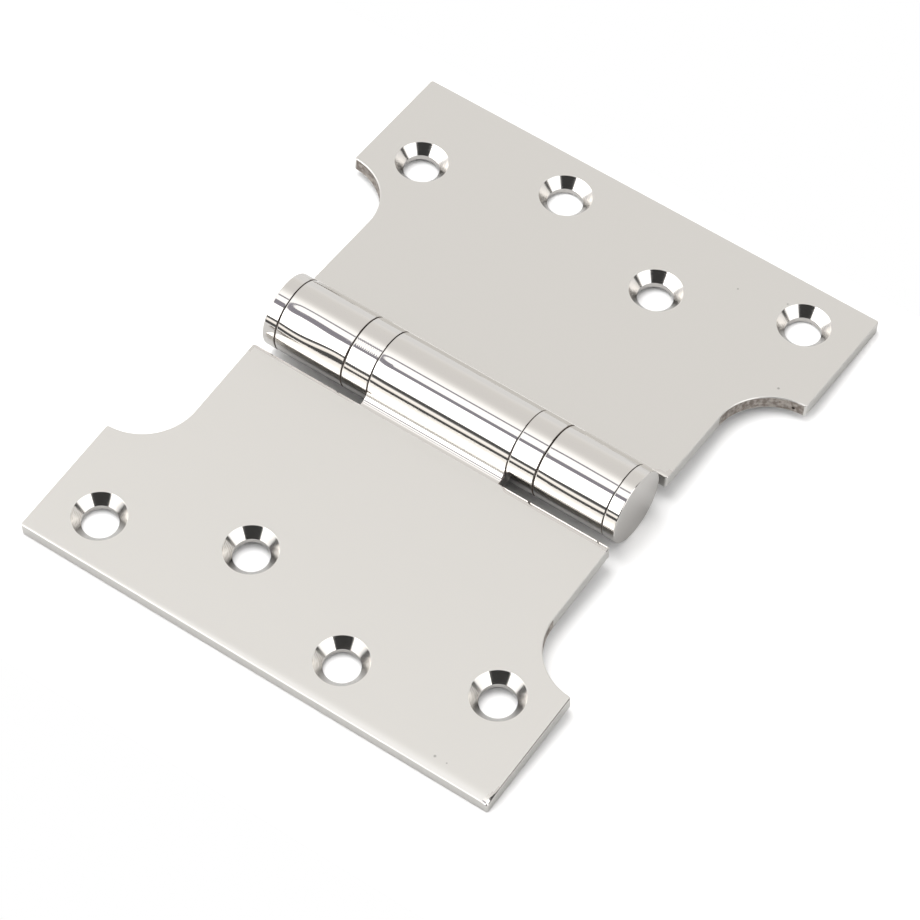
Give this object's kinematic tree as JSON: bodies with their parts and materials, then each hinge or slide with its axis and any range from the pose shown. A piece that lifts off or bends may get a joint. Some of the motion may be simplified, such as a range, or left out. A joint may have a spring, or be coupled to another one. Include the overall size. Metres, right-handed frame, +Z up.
{
  "type": "parliament hinge",
  "caption": "Parliament hinge in polished stainless steel: two T-shaped leaves with countersunk holes on a ball bearing barrel, so a door swings clear of a deep frame.",
  "frame": {"origin": "middle of the pin, on its axis, which is also the middle of the hinge's bounding box as it lies open", "axes": "+X along the pin, +Y towards the frame leaf, +Z up, out of the leaves' countersunk faces"},
  "size_m": [0.102, 0.1296, 0.0148],
  "materials": {
    "leaf_steel": "mirror-polished stainless steel",
    "barrel_steel": "mirror-polished turned stainless steel",
    "pin_steel": "ground stainless steel",
    "race_steel": "hardened and ground bearing steel",
    "ball_steel": "lapped bearing balls",
    "cage_brass": "pressed sheet brass"
  },
  "bodies": {
    "frame_side": {"frame_leaf": "leaf_steel", "hinge_pin": "pin_steel", "left_end_cap": "barrel_steel", "right_end_cap": "barrel_steel", "left_frame_race": "race_steel", "right_frame_race": "race_steel"},
    "door_side": {"door_leaf": "leaf_steel", "left_bearing_housing": "barrel_steel", "right_bearing_housing": "barrel_steel", "left_door_race": "race_steel", "right_door_race": "race_steel"},
    "left_ball_set": {"left_bearing_balls": "ball_steel", "left_ball_cage": "cage_brass"},
    "right_ball_set": {"right_bearing_balls": "ball_steel", "right_ball_cage": "cage_brass"}
  },
  "joints": [
    {"name": "leaf_swing", "type": "hinge", "parent": "frame_side", "child": "door_side", "pos_m": [0, 0, 0], "axis": [-1, 0, 0], "range_deg": [-130, 186.9]},
    {"name": "left_balls_roll", "type": "hinge", "parent": "frame_side", "child": "left_ball_set", "pos_m": [0, 0, 0], "axis": [-1, 0, 0], "range_deg": [-66, 94]},
    {"name": "right_balls_roll", "type": "hinge", "parent": "frame_side", "child": "right_ball_set", "pos_m": [0, 0, 0], "axis": [-1, 0, 0], "range_deg": [-66, 94]}
  ],
  "couplings": [
    {"joint": "left_balls_roll", "follows": "leaf_swing", "ratio": 0.5},
    {"joint": "right_balls_roll", "follows": "leaf_swing", "ratio": 0.5}
  ]
}
